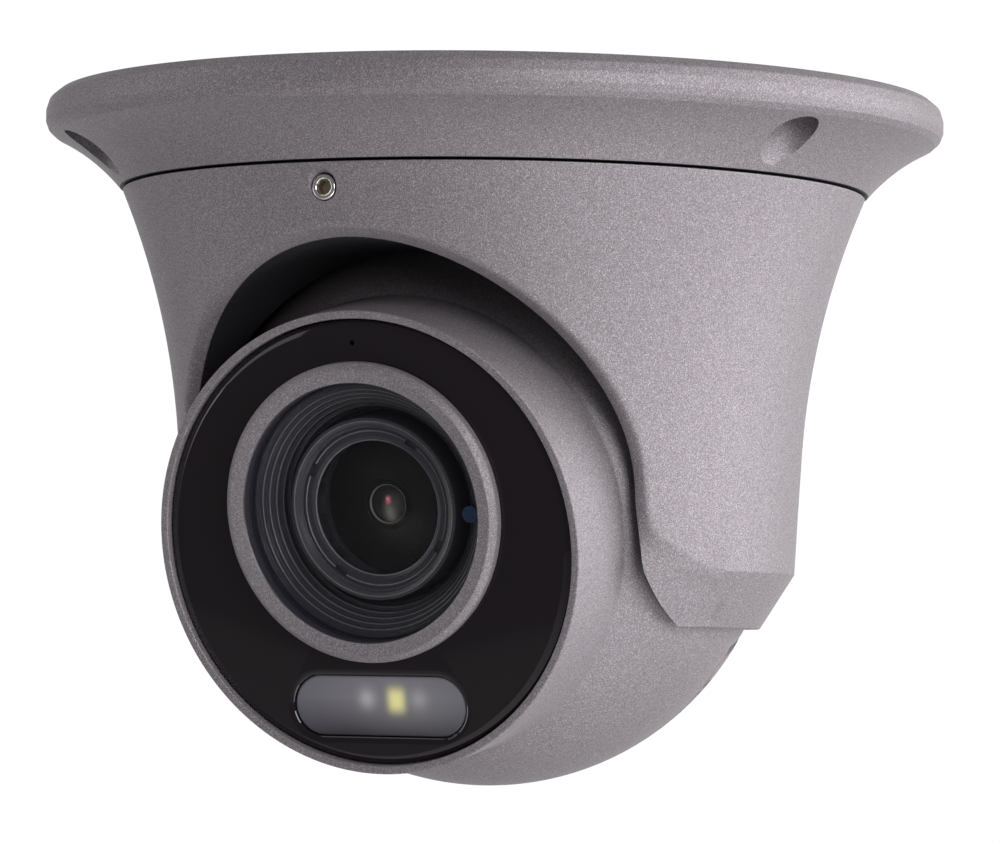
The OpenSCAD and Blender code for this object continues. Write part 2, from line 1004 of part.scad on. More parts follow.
module board_posts() {
    color([0.75, 0.68, 0.4])
        eye_frame()
            posts_at()
                union() {
                    translate([0, 0, -31])
                        cylinder(r = 2.6, h = 8, $fn = 6);
                    translate([0, 0, -23.2])
                        cylinder(r = 1.25, h = 14, $fn = fine);
                    translate([0, 0, -21.4])
                        cylinder(r = 2.4, h = 8.8, $fn = 6);
                    translate([0, 0, -11])
                        cylinder(r = 2.3, h = 1.6, $fn = 6);
                }
}

module power_board() {
    color([0.12, 0.28, 0.2])
        eye_frame()
            difference() {
                translate([0, 0, -23])
                    cylinder(r = 31, h = 1.6, $fn = round);
                posts_at()
                    cylinder(r = 1.3, h = 60, center = true, $fn = fine);
            }
}

module processor() {
    color([0.1, 0.1, 0.1])
        eye_frame()
            translate([0, -4, 0])
                slab(15, 15, 0.6, -11, -9.8);
}

module heat_sink() {
    color([0.6, 0.6, 0.62])
        eye_frame()
            translate([0, -4, 0])
                difference() {
                    translate([-10, -10, -9.8])
                        cube([20, 20, 5]);
                    for (i = [-3:3])
                        translate([i * 2.7 - 0.8, -11, -8.2])
                            cube([1.6, 22, 6]);
                }
}

// ---- service bay ----

module service_board() {
    color([0.1, 0.3, 0.16])
        service_frame()
            slab(17, 9.6, 1, 34, 35);
}

module card_socket() {
    color([0.7, 0.7, 0.72])
        service_frame()
            difference() {
                translate([-7.4, -4, 35])
                    cube([9, 8, 2.2]);
                translate([-7.4, -3.2, 35.5])
                    cube([8, 6.4, 1]);
            }
}

module reset_switch() {
    color([0.12, 0.12, 0.12])
        service_frame()
            translate([4.4, 0, 0])
                difference() {
                    slab(4.2, 4.2, 0.4, 35, 36.4);
                    translate([0, 0, 35.2])
                        cylinder(r = 1.2, h = 3, $fn = fine);
                }
}

module reset_button() {
    color([0.85, 0.3, 0.2])
        service_frame()
            translate([4.4, 0, 35.7]) {
                cylinder(r = 1.1, h = 1.7, $fn = fine);
                translate([0, 0, 1.7])
                    cylinder(r1 = 1.1, r2 = 0.8, h = 0.3, $fn = fine);
            }
}

module service_cover() {
    color([0.42, 0.42, 0.43])
        service_frame()
            difference() {
                intersection() {
                    slab(service_l, service_w, 3, service_z - 1.3, ball_r + 1);
                    sphere(r = ball_r, $fn = round);
                }
                for (s = [-1, 1])
                    translate([s * 8.1, 0, 0]) {
                        translate([0, 0, 40])
                            cylinder(r = 1, h = 10, $fn = fine);
                        translate([0, 0, service_z - 0.9])
                            cylinder(r = 1.75, h = 3, $fn = fine);
                    }
            }
}

module service_gasket() {
    color([0.05, 0.05, 0.05])
        service_frame()
            difference() {
                slab(service_l, service_w, 3, service_z - 1.7, service_z - 1.3);
                slab(12.6, 8, 1.5, 40, 50);
                for (s = [-1, 1])
                    translate([s * 8.1, 0, 40])
                        cylinder(r = 1, h = 10, $fn = fine);
            }
}

module service_screws() {
    color([0.25, 0.25, 0.26])
        service_frame()
            for (s = [-1, 1])
                translate([s * 8.1, 0, service_z - 0.9])
                    pan_screw(0.8, 3.4, 1.6, 0.7);
}

// ---- output ----

base_flange();
base_gasket();
cable_grommet();
trim_cover();
pan_seal();
lock_screw();
ball_retainer();
retainer_screws();
friction_ring();
pivot_pins();
tilt_yoke();
eyeball_shell();
hub_clip();
cable_gland();
front_frame();
frame_screws();
glass_gasket();
face_glass();
lens_ring();
ring_nut();
lens_window();
lens_baffle();
led_window();
led_reflector();
led_board();
white_led();
ir_leds();
microphone();
light_sensor();
lens_body();
lens_barrel();
lens_retaining_ring();
front_element();
aperture_stop();
zoom_carriage();
zoom_lens();
focus_carriage();
focus_lens();
guide_rods();
zoom_motor();
focus_motor();
ir_cut_housing();
ir_cut_filter();
ir_cut_coil();
image_sensor();
sensor_board();
lens_screws();
main_board();
board_posts();
power_board();
processor();
heat_sink();
service_board();
card_socket();
reset_switch();
reset_button();
service_cover();
service_gasket();
service_screws();
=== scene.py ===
import json
import math

import bmesh
import bpy
from mathutils import Matrix, Vector


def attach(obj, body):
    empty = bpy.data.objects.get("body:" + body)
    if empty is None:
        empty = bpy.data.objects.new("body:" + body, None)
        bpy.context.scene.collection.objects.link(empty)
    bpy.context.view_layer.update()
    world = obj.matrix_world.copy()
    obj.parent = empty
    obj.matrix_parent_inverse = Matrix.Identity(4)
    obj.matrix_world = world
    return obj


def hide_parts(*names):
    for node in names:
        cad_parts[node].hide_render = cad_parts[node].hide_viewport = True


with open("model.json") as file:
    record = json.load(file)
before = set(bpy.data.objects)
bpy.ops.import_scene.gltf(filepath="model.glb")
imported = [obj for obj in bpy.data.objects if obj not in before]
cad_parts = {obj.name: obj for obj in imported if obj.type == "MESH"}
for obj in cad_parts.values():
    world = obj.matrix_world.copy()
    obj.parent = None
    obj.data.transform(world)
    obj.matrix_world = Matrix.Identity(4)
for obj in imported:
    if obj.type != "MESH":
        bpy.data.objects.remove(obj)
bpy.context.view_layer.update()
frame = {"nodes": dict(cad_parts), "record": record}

MM = 0.001
scene = bpy.context.scene
scene.view_settings.view_transform = "Standard"

# ---------------------------------------------------------------- camera

TURN = math.radians(26.2)       # from the front towards the object's right
RISE = math.radians(-2.75)      # below the horizon
ROLL = math.radians(0.8)
AIM_SIDE, AIM_HEIGHT = 0.00151, -0.05165
CAMERA_DISTANCE = 0.80875
back = Vector((math.sin(TURN) * math.cos(RISE), -math.cos(TURN) * math.cos(RISE), math.sin(RISE)))
right = Vector((math.cos(TURN), math.sin(TURN), 0))
upward = back.cross(right)
look_at = right * AIM_SIDE + Vector((0, 0, AIM_HEIGHT))
cam_data = bpy.data.cameras.new("camera")
cam_data.lens = 180
cam_data.sensor_width = 36
cam = bpy.data.objects.new("camera", cam_data)
scene.collection.objects.link(cam)
side = right * math.cos(ROLL) + upward * math.sin(ROLL)
top = upward * math.cos(ROLL) - right * math.sin(ROLL)
pose = Matrix((side, top, back)).transposed().to_4x4()
pose.translation = look_at + back * CAMERA_DISTANCE
cam.matrix_world = pose
scene.camera = cam

# ---------------------------------------------------------------- frames of the parts

BALL_Z = -64.3                  # height of the eyeball's centre
TILT = math.radians(11)         # the stored eyeball looks this far below level
LENS_UP = 4.9                   # lens axis above the eyeball's axis
SERVICE_TURN, SERVICE_POLAR = math.radians(-43.1), math.radians(106.3)
world_frame = Matrix.Scale(MM, 4)
eye_frame = (world_frame @ Matrix.Translation((0, 0, BALL_Z))
             @ Matrix.Rotation(math.radians(90) + TILT, 4, "X"))
lens_frame = eye_frame @ Matrix.Translation((0, LENS_UP, 0))
service_frame = (eye_frame @ Matrix.Rotation(SERVICE_TURN, 4, "Z")
                 @ Matrix.Rotation(SERVICE_POLAR, 4, "Y"))

# ---------------------------------------------------------------- materials


class Look:
    """A procedural material: one Principled shader with noise in the object's own space."""

    def __init__(self, name, color, rough, metal=0.0, coat=0.0, alpha=1.0, ior=1.5, specular=0.5):
        self.mat = bpy.data.materials.new(name)
        self.mat.use_nodes = True
        self.tree = self.mat.node_tree
        self.out = self.tree.nodes["Material Output"]
        self.bsdf = self.tree.nodes["Principled BSDF"]
        self.set(**{"Base Color": (*color, 1), "Roughness": rough, "Metallic": metal,
                    "Coat Weight": coat, "Coat Roughness": 0.08, "Alpha": alpha, "IOR": ior,
                    "Specular IOR Level": specular})
        self.coords = self.tree.nodes.new("ShaderNodeTexCoord").outputs["Object"]
        self.color = color

    def set(self, **values):
        for key, value in values.items():
            self.bsdf.inputs[key].default_value = value

    def node(self, kind, **values):
        made = self.tree.nodes.new(kind)
        for key, value in values.items():
            if key in made.inputs:
                made.inputs[key].default_value = value
            else:
                setattr(made, key, value)
        return made

    def link(self, a, b):
        self.tree.links.new(a, b)

    def noise(self, scale, detail=2.0, rough=0.5, stretch=None):
        made = self.node("ShaderNodeTexNoise", Scale=scale, Detail=detail, Roughness=rough)
        place = self.coords
        if stretch:
            mapping = self.node("ShaderNodeMapping")
            mapping.inputs["Scale"].default_value = stretch
            self.link(place, mapping.inputs["Vector"])
            place = mapping.outputs["Vector"]
        self.link(place, made.inputs["Vector"])
        return made.outputs["Fac"]

    def remap(self, value, a, b, low, high):
        made = self.node("ShaderNodeMapRange")
        for key, number in (("From Min", a), ("From Max", b), ("To Min", low), ("To Max", high)):
            made.inputs[key].default_value = number
        self.link(value, made.inputs["Value"])
        return made.outputs["Result"]

    def math(self, operation, a, b):
        made = self.node("ShaderNodeMath", operation=operation)
        for socket, value in zip(made.inputs, (a, b)):
            if isinstance(value, (int, float)):
                socket.default_value = value
            else:
                self.link(value, socket)
        return made.outputs["Value"]

    def mix(self, factor, a, b, blend="MIX"):
        made = self.node("ShaderNodeMix", data_type="RGBA", blend_type=blend)
        for key, value in (("Factor_Float", factor), ("A_Color", a), ("B_Color", b)):
            socket = next(s for s in made.inputs if s.identifier == key)
            if isinstance(value, (int, float)):
                socket.default_value = value
            elif isinstance(value, tuple):
                socket.default_value = (*value, 1)
            else:
                self.link(value, socket)
        return next(s for s in made.outputs if s.identifier == "Result_Color")

    def tint(self, factor, other):
        """Blends the base colour towards another by a factor socket."""
        source = self.bsdf.inputs["Base Color"]
        now = source.links[0].from_socket if source.links else self.color
        self.link(self.mix(factor, now, other), source)
        return self

    def rough(self, value):
        self.link(value, self.bsdf.inputs["Roughness"])
        return self

    def bump(self, height, strength, distance):
        made = self.node("ShaderNodeBump", Strength=strength, Distance=distance)
        before = self.bsdf.inputs["Normal"].links
        if before:
            self.link(before[0].from_socket, made.inputs["Normal"])
        self.link(height, made.inputs["Height"])
        self.link(made.outputs["Normal"], self.bsdf.inputs["Normal"])
        return self


def painted(name, color):
    """Graphite metallic powder coat: dense fine grain, small flakes and a slight orange peel."""
    look = Look(name, color, 0.5, metal=0.3, specular=0.45)
    grain = look.noise(6200, 2.0, 0.7)
    look.tint(look.remap(grain, 0.50, 0.25, 0.0, 0.90), tuple(c * 0.40 for c in color))
    look.tint(look.remap(grain, 0.52, 0.76, 0.0, 0.95), tuple(min(1, c * 2.0) for c in color))
    flakes = look.node("ShaderNodeTexVoronoi", Scale=7200)
    look.link(look.coords, flakes.inputs["Vector"])
    spark = look.node("ShaderNodeSeparateColor")
    look.link(flakes.outputs["Color"], spark.inputs["Color"])
    look.tint(look.remap(spark.outputs["Red"], 0.80, 1.0, 0.0, 0.50), (0.60, 0.57, 0.59))
    look.tint(look.remap(spark.outputs["Green"], 0.78, 1.0, 0.0, 0.60), tuple(c * 0.3 for c in color))
    look.rough(look.remap(grain, 0.3, 0.7, 0.60, 0.40))
    look.bump(grain, 0.85, 0.00006)
    look.bump(look.noise(700, 1, 0.4), 0.10, 0.00012)
    return look


def plastic(name, color, rough, grain=1800, depth=0.15, coat=0.0):
    look = Look(name, color, rough, coat=coat)
    field = look.noise(grain, 3, 0.6)
    look.rough(look.remap(field, 0.3, 0.7, rough * 0.85, min(1, rough * 1.18)))
    look.bump(field, depth, 0.00004)
    dust = look.remap(look.noise(5200, 0, 0), 0.80, 0.84, 0.0, 0.20)
    look.tint(dust, tuple(min(1, c + 0.05) for c in color))
    return look


def metal(name, color, rough, stretch=None):
    look = Look(name, color, rough, metal=1.0)
    lines = look.noise(900, 3, 0.6, stretch or (1, 1, 14))
    look.rough(look.remap(lines, 0.3, 0.7, rough * 0.7, rough * 1.4))
    look.bump(lines, 0.12, 0.00003)
    return look


def clear(name, color, alpha, rough=0.03):
    look = Look(name, color, rough, alpha=alpha, specular=0.8)
    smudge = look.noise(160, 3, 0.6)
    look.rough(look.remap(smudge, 0.4, 0.8, rough, rough + 0.05))
    look.mat.surface_render_method = "BLENDED"
    return look


PAINT = (0.226, 0.202, 0.221)
paint = painted("graphite_paint", PAINT)
inside = plastic("cover_inside", (0.010, 0.010, 0.011), 0.62)

looks = {
    "graphite_paint": paint,
    "foam_black": plastic("foam_black", (0.016, 0.016, 0.016), 0.9, 1500, 0.8),
    "rubber_black": plastic("rubber_black", (0.014, 0.014, 0.014), 0.55),
    "steel_screw": metal("steel_screw", (0.72, 0.70, 0.68), 0.22, (1, 1, 1)),
    "steel_sheet": metal("steel_sheet", (0.50, 0.50, 0.51), 0.30),
    "black_plastic": plastic("black_plastic", (0.012, 0.012, 0.013), 0.5),
    "black_lens_metal": plastic("black_lens_metal", (0.030, 0.028, 0.038), 0.34, 2600, 0.10),
    "dark_glass": Look("dark_glass", (0.0070, 0.0038, 0.0062), 0.05, coat=0.2, specular=0.45),
    "clear_glass": clear("clear_glass", (0.02, 0.02, 0.025), 0.08),
    "lens_glass": clear("lens_glass", (0.004, 0.004, 0.006), 0.16, 0.02),
    "frosted_window": plastic("frosted_window", (0.115, 0.118, 0.132), 0.30, 2200, 0.05),
    "reflector_grey": plastic("reflector_grey", (0.45, 0.45, 0.46), 0.25),
    "circuit_board": plastic("circuit_board", (0.012, 0.075, 0.032), 0.42, 700, 0.2),
    "led_yellow": plastic("led_yellow", (0.80, 0.66, 0.16), 0.35),
    "led_clear": clear("led_clear", (0.8, 0.82, 0.85), 0.55, 0.08),
    "sensor_blue": plastic("sensor_blue", (0.014, 0.045, 0.13), 0.2, 1800, 0.3, coat=0.4),
    "brass_post": metal("brass_post", (0.62, 0.47, 0.20), 0.28),
    "motor_can": metal("motor_can", (0.52, 0.52, 0.53), 0.32),
    "filter_pink": clear("filter_pink", (0.5, 0.10, 0.16), 0.55),
    "coil_copper": metal("coil_copper", (0.62, 0.26, 0.10), 0.35, (14, 1, 1)),
    "heat_aluminium": metal("heat_aluminium", (0.62, 0.62, 0.63), 0.34),
    "chip_black": plastic("chip_black", (0.014, 0.014, 0.016), 0.5),
    "button_red": plastic("button_red", (0.40, 0.03, 0.02), 0.4),
}


def gaussian_spot(look, where, width, power=2.0):
    """1 at a point of the lamp window, falling to 0 over the given half widths in metres."""
    mapping = look.node("ShaderNodeMapping", vector_type="POINT")
    mapping.inputs["Location"].default_value = tuple(-p / w for p, w in zip(where, width))
    mapping.inputs["Scale"].default_value = tuple(1 / w for w in width)
    look.link(look.coords, mapping.inputs["Vector"])
    parts = look.node("ShaderNodeSeparateXYZ")
    look.link(mapping.outputs["Vector"], parts.inputs["Vector"])
    total = None
    for axis in "XY":
        size = look.math("ABSOLUTE", parts.outputs[axis], 0.0)
        term = look.math("POWER", size, power)
        total = term if total is None else look.math("ADD", total, term)
    return look.math("POWER", 2.0, look.math("MULTIPLY", total, -1.4))


def lamp_window_look():
    """Frosted window: cool grey at the top, darker below, with the lamps showing through as blurs."""
    look = Look("lamp_window", (0.195, 0.186, 0.218), 0.36, specular=0.2)
    parts = look.node("ShaderNodeSeparateXYZ")
    look.link(look.coords, parts.inputs["Vector"])
    low = look.remap(parts.outputs["Y"], 0.0014, -0.0044, 0.0, 1.0)
    look.tint(low, (0.034, 0.029, 0.038))
    ends = look.remap(look.math("ABSOLUTE", parts.outputs["X"], 0.0), 0.006, 0.0145, 0.0, 0.35)
    look.tint(ends, (0.105, 0.108, 0.130))
    halo = gaussian_spot(look, (0.0045, 0.0004, 0), (0.0095, 0.0042, 1))
    look.tint(look.math("MULTIPLY", halo, 0.45), (0.27, 0.27, 0.27))
    for x, gain in ((-0.0022, 0.75), (0.0068, 0.45)):
        glow = gaussian_spot(look, (x, 0.0012, 0), (0.0014, 0.0015, 1))
        look.tint(look.math("MULTIPLY", glow, gain), (0.52, 0.51, 0.53))
    square = gaussian_spot(look, (0.0029, 0.0010, 0), (0.0015, 0.0019, 1), 3.0)
    look.tint(look.math("MULTIPLY", square, 0.97), (0.95, 0.90, 0.42))
    look.bump(look.noise(2600, 2, 0.5), 0.05, 0.00003)
    return look


def pupil_look():
    """Coated inner lens: olive-black with a painted pale reflection, a painted hazy reflection and a small
    painted pink glint, all lifted by a painted glow.
    """
    look = Look("inner_lens", (0.010, 0.011, 0.009), 0.08, coat=0.3)
    # painted reflection: a pale streak below the centre of the lens
    pale_reflection = gaussian_spot(look, (0.0003, -0.0012, 0), (0.0009, 0.0017, 1))
    look.tint(look.math("MULTIPLY", pale_reflection, 0.9), (0.30, 0.28, 0.25))
    # painted reflection: a faint hazy patch beside the glint
    hazy_reflection = gaussian_spot(look, (0.0012, 0.0002, 0), (0.0013, 0.0013, 1))
    look.tint(look.math("MULTIPLY", hazy_reflection, 0.6), (0.09, 0.10, 0.08))
    # painted highlight: the small pink glint and its paler core
    glint = gaussian_spot(look, (0.0001, 0.0006, 0), (0.00042, 0.00060, 1), 3.0)
    look.tint(look.math("MULTIPLY", glint, 0.98), (0.98, 0.20, 0.34))
    core = gaussian_spot(look, (0.0000, 0.0008, 0), (0.00016, 0.00022, 1), 3.0)
    look.tint(core, (0.9, 0.62, 0.66))
    # painted glow: the lens's own colours also shine as emission, though it is no lamp
    look.link(look.bsdf.inputs["Base Color"].links[0].from_socket, look.bsdf.inputs["Emission Color"])
    look.set(**{"Emission Strength": 0.32})
    return look


# ---------------------------------------------------------------- mesh helpers


def rounded(points, segments=4):
    """Closed outline of (r, z, radius, finish); each corner with a radius becomes an arc."""
    out = []
    count = len(points)
    for i, (x, y, radius, finish) in enumerate(points):
        here = Vector((x, y))
        if radius <= 0:
            out.append((x, y, finish))
            continue
        before = Vector(points[i - 1][:2]) - here
        after = Vector(points[(i + 1) % count][:2]) - here
        half = before.angle(after) / 2
        reach = min(radius / math.tan(half), before.length * 0.49, after.length * 0.49)
        a = here + before.normalized() * reach
        b = here + after.normalized() * reach
        previous = points[i - 1][3]
        for k in range(segments + 1):
            t = k / segments
            p = a * (1 - t) ** 2 + here * 2 * t * (1 - t) + b * t ** 2
            out.append((p.x, p.y, finish if t >= 0.5 else previous))
    return out


def link_mesh(name, data, place, finishes):
    """Places a mesh, gives it its materials and puts it in the scene."""
    data.transform(place)
    data.update()
    for look in finishes:
        data.materials.append(look.mat)
    obj = bpy.data.objects.new(name, data)
    scene.collection.objects.link(obj)
    return obj


def soften(obj, angle=30):
    """Smooth shading, with edges sharper than the angle kept."""
    for poly in obj.data.polygons:
        poly.use_smooth = True
    obj.data.set_sharp_from_angle(angle=math.radians(angle))


def turned(name, outline, place, finishes, steps=256, segments=4):
    """A closed outline turned about Z; each entry is (r, z, corner radius, next side's finish)."""
    points = rounded(outline, segments)
    bm = bmesh.new()
    rings = []
    for r, z, _ in points:
        ring = []
        for j in range(steps):
            t = 2 * math.pi * j / steps
            ring.append(bm.verts.new((r * math.cos(t), r * math.sin(t), z)))
        rings.append(ring)
    for i, (_, _, finish) in enumerate(points):
        a, b = rings[i], rings[(i + 1) % len(rings)]
        for j in range(steps):
            k = (j + 1) % steps
            face = bm.faces.new((a[j], a[k], b[k], b[j]))
            face.material_index = finish
    bmesh.ops.remove_doubles(bm, verts=bm.verts, dist=1e-5)
    bmesh.ops.recalc_face_normals(bm, faces=bm.faces)
    data = bpy.data.meshes.new(name)
    bm.to_mesh(data)
    bm.free()
    obj = link_mesh(name, data, place, finishes)
    soften(obj)
    return obj


def lofted(name, rings, place, finishes, strip_finish=None):
    """Closed rings of equal length joined by strips and capped at both ends."""
    bm = bmesh.new()
    made = [[bm.verts.new(p) for p in ring] for ring in rings]
    for i in range(len(made) - 1):
        a, b = made[i], made[i + 1]
        for j in range(len(a)):
            k = (j + 1) % len(a)
            face = bm.faces.new((a[j], a[k], b[k], b[j]))
            if strip_finish:
                face.material_index = strip_finish[i]
    bm.faces.new(list(reversed(made[0])))
    bm.faces.new(made[-1])
    bmesh.ops.recalc_face_normals(bm, faces=bm.faces)
    data = bpy.data.meshes.new(name)
    bm.to_mesh(data)
    bm.free()
    obj = link_mesh(name, data, place, finishes)
    soften(obj)
    return obj


def pill_ring(length, width, z, steps=48):
    """Outline of a bar with round ends at height z."""
    reach = (length - width) / 2
    ring = []
    for sign in (1, -1):
        for k in range(steps + 1):
            t = math.pi * (k / steps - 0.5)
            ring.append((sign * (reach + width / 2 * math.cos(t)), sign * width / 2 * math.sin(t), z))
    return ring


def round_ring(radius, z, steps=48, x=0.0, y=0.0):
    """Circle at height z, centred at (x, y)."""
    turns = [2 * math.pi * k / steps for k in range(steps)]
    return [(x + radius * math.cos(t), y + radius * math.sin(t), z) for t in turns]


def slab_ring(length, width, radius, z, steps=8):
    """Outline of a plate with round corners at height z."""
    ring = []
    for quarter, (sx, sy) in enumerate(((1, 1), (-1, 1), (-1, -1), (1, -1))):
        for k in range(steps + 1):
            t = math.pi / 2 * (quarter + k / steps)
            ring.append((sx * (length / 2 - radius) + radius * math.cos(t),
                         sy * (width / 2 - radius) + radius * math.sin(t), z))
    return ring


def cut(obj, *tools):
    """Takes the tools out of obj and removes them."""
    for tool in tools:
        step = obj.modifiers.new("cut", "BOOLEAN")
        step.operation = "DIFFERENCE"
        step.solver = "EXACT"
        step.material_mode = "INDEX"
        step.object = tool
        bpy.context.view_layer.update()
        shown = obj.evaluated_get(bpy.context.evaluated_depsgraph_get())
        data = bpy.data.meshes.new_from_object(shown)
        obj.modifiers.clear()
        obj.data = data
    for tool in tools:
        bpy.data.objects.remove(tool)
    soften(obj)
    return obj


def stands_for(obj, body, slot, *nodes):
    """The piece rides a body and may take the place of CAD nodes; the slot argument is not used."""
    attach(obj, body)
    if nodes:
        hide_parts(*nodes)
    return obj


# ---------------------------------------------------------------- CAD nodes take their finish

for entry in frame["record"]["subparts"]:
    node = frame["nodes"][entry["node"]]
    node.data.materials.clear()
    node.data.materials.append(looks[entry["material_slot"]].mat)

# ---------------------------------------------------------------- base

ARC_X, ARC_Z, ARC_R = 84.95, -35.45, 32.0      # concave underside of the flange
UNDER_OUT, UNDER_IN, UNDER_STEPS = 71.1, 60.5, 24
BOLT_TURN, BOLT_CIRCLE = -50.5, 65.8
under = []
for k in range(UNDER_STEPS + 1):
    r = UNDER_OUT - (UNDER_OUT - UNDER_IN) * k / UNDER_STEPS
    under.append((r, ARC_Z + math.sqrt(ARC_R ** 2 - (ARC_X - r) ** 2), 0.0, 0))
under[0] = (*under[0][:2], 0.5, 0)
under[-1] = (*under[-1][:2], 0.28, 1)
flange = [
    (14, -4.2, 0.3, 0), (14, -1.6, 0.2, 0), (19, -1.6, 0.2, 0), (19, 0, 0.3, 0),
    (53, 0, 0.3, 0), (53, -1, 0.2, 0), (69.4, -1, 0.2, 0), (69.4, 0, 0.2, 0), (70.5, 0, 0.5, 0),
    (72.0, -1.25, 0.9, 0), (72.5, -2.9, 1.0, 0), (72.5, -4.6, 0.7, 0), (72.05, -5.75, 0.6, 0),
    *under,
    (54.6, -14.8, 0, 1), (54.6, -16.6, 0.1, 1), (53.1, -16.6, 0.1, 1), (53.1, -21.2, 0.1, 1),
    (54.6, -21.2, 0.1, 1), (54.6, -22.4, 0.4, 1), (51.4, -22.4, 0.4, 1), (51.4, -4.2, 0.8, 1),
]
base = turned("flange_body", flange, world_frame, (paint, inside), 360)
tools = []
for k in range(3):
    a = math.radians(BOLT_TURN + 120 * k)
    x, y = BOLT_CIRCLE * math.sin(a), -BOLT_CIRCLE * math.cos(a)
    pocket = [round_ring(r, z, 48, x, y)
              for r, z in ((4.6, -30), (4.4, -9), (4.4, -4.9), (4.2, -4.4), (3.9, -4.2))]
    tools.append(lofted("pocket", pocket, world_frame, (paint, inside), (0, 0, 0, 0)))
    hole = [round_ring(2.4, z, 32, x, y) for z in (-6, 1)]
    tools.append(lofted("hole", hole, world_frame, (paint, inside), (1,)))
cut(base, *tools)
stands_for(base, "base", "graphite_paint", "base_flange")

# ---------------------------------------------------------------- trim cover

BELL_R, BELL_X, BELL_Z = 125.0, 175.1, -64.06  # arc of the flared bell
SEAM_Z, SKIRT_Z, EDGE_Z, RIM_Z = -15.15, -58, -75.9, -84.7
SKIRT_R, EDGE_R, RIM_R = 50.25, 49.3, 43.8
SEAT_R = 46.5                                   # spherical seat round the eyeball
BELL_WALL = 2.6


def bell_radius(z):
    """Outside radius of the cover at height z."""
    if z >= SKIRT_Z:
        return BELL_X - math.sqrt(BELL_R ** 2 - (z - BELL_Z) ** 2)
    if z >= EDGE_Z:
        return SKIRT_R + (EDGE_R - SKIRT_R) * (SKIRT_Z - z) / (SKIRT_Z - EDGE_Z)
    return EDGE_R + (RIM_R - EDGE_R) * (EDGE_Z - max(RIM_Z, z)) / (EDGE_Z - RIM_Z)


outer = [(54.65, -15.1, 0.2, 1), (57.6, -15.1, 0, 1)]
outer.append((bell_radius(SEAM_Z), -15.12, 0.28, 0))
for k in range(1, 36):
    z = SEAM_Z + (SKIRT_Z - SEAM_Z) * k / 36
    outer.append((bell_radius(z), z, 0.0, 0))
outer += [(SKIRT_R, SKIRT_Z, 0, 0), (49.8, -66, 0, 0), (EDGE_R, EDGE_Z, 0.9, 0), (RIM_R, RIM_Z, 0.45, 0)]
seat = []
for k in range(9):
    z = RIM_Z + 8.7 * k / 8
    seat.append((math.sqrt(SEAT_R ** 2 - (z - BALL_Z) ** 2), z, 0.3 if k == 0 else 0.0, 1))
hollow = [(47.5, -76, 0, 1), (47.5, -62, 0, 1)]
for k in range(1, 12):
    z = -60 + 36 * k / 12
    hollow.append((BELL_X - math.sqrt((BELL_R + BELL_WALL) ** 2 - (z - BELL_Z) ** 2), z, 0, 1))
hollow += [(54.65, -24, 0.3, 1)]
cover = turned("cover_body", outer + seat + hollow, world_frame, (paint, inside), 420, 5)

# the arch: half width of the bevel's outer edge, of the opening itself, and the bevel's depth
ARCH_TURN = math.radians(1.5)
ARCH_OUT, ARCH_IN, ARCH_DEEP = 40.1, 38.1, 2.6
LEG_TOP, LEG_LONG, LEG_STEPS = -66.0, 26.0, 20     # the opening's straight sides below the arch


def leg(down):
    """Bevel on a leg, this far below its top: outer and inner half width, depth."""
    inner = ARCH_IN + 0.07 * down + 7.6e-6 * down ** 4      # the legs splay towards the rim
    flare = 5.2 * math.exp(-((down - 10.8) / 4.6) ** 2)     # widest where it crosses the chamfer's edge
    fade = min(1.0, max(0.0, (down - 6.5) / 13))
    depth = ARCH_DEEP - (ARCH_DEEP - 0.1) * fade * fade * (3 - 2 * fade)
    return inner + ARCH_OUT - ARCH_IN + flare, inner, depth


def front(x, z):
    """How far forward the cover's outside is at (x, z), never less than 3 mm."""
    return math.sqrt(max(9.0, bell_radius(z) ** 2 - x * x))


def arch_station(ox, oz, ix, iz, depth):
    """Section through the arch's edge: back, inner edge, rounded outer edge, far out."""
    c = Vector((ox, oz, front(ox, oz)))
    b = Vector((ix, iz, front(ix, iz) - depth))
    along = (c - b).normalized()
    outward = Vector((ox - ix, oz - iz, 0)).normalized()
    soft = min(0.7, (c - b).length * 0.3)
    before = c - along * soft
    past = c + outward * soft
    past.z = front(past.x, past.y) + 0.01
    bend = [before * (1 - t) ** 2 + c * 2 * t * (1 - t) + past * t ** 2 for t in (0, 0.25, 0.5, 0.75, 1)]
    round_in, probe, reach = 0.35, 0.05, 6
    inner = b + Vector((0, 0, -round_in))
    lip = b + along * round_in
    middle = b * 0.5 + (inner + lip) * 0.25
    step = past + outward * probe
    slope = (front(step.x, step.y) - front(past.x, past.y)) / probe
    far = past + outward * reach
    far.z = max(past.z + slope * reach, front(far.x, far.y)) + 0.8
    return [Vector((ix, iz, 4)), inner, middle, lip, *bend, far, Vector((far.x, far.y, 95))]


half = []
for k in range(LEG_STEPS, -1, -1):
    ox, ix, depth = leg(LEG_LONG * k / LEG_STEPS)
    z = LEG_TOP - LEG_LONG * k / LEG_STEPS
    half.append(arch_station(ox, z, ix, z, depth))
for k in range(1, 61):
    t = math.radians(1.5 * k)
    c, v = math.cos(t), math.sin(t)
    half.append(arch_station(ARCH_OUT * c, BALL_Z - 0.5 * v + ARCH_OUT * v,
                             ARCH_IN * c, BALL_Z + ARCH_IN * v, ARCH_DEEP))
stations = half + [[Vector((-p.x, p.y, p.z)) for p in s] for s in reversed(half[:-1])]
rings = [[(s[i].x, -s[i].z, s[i].y) for s in stations] for i in range(len(stations[0]))]
arch_frame = world_frame @ Matrix.Rotation(ARCH_TURN, 4, "Z")
arch = lofted("arch", rings, arch_frame, (paint, inside), (1, 1, 0, 0, 0, 0, 0, 0, 0, 0))
LOCK_Z, LOCK_OUT = -18.9, 53.7
facing_front = Matrix.Rotation(math.radians(90), 4, "X")
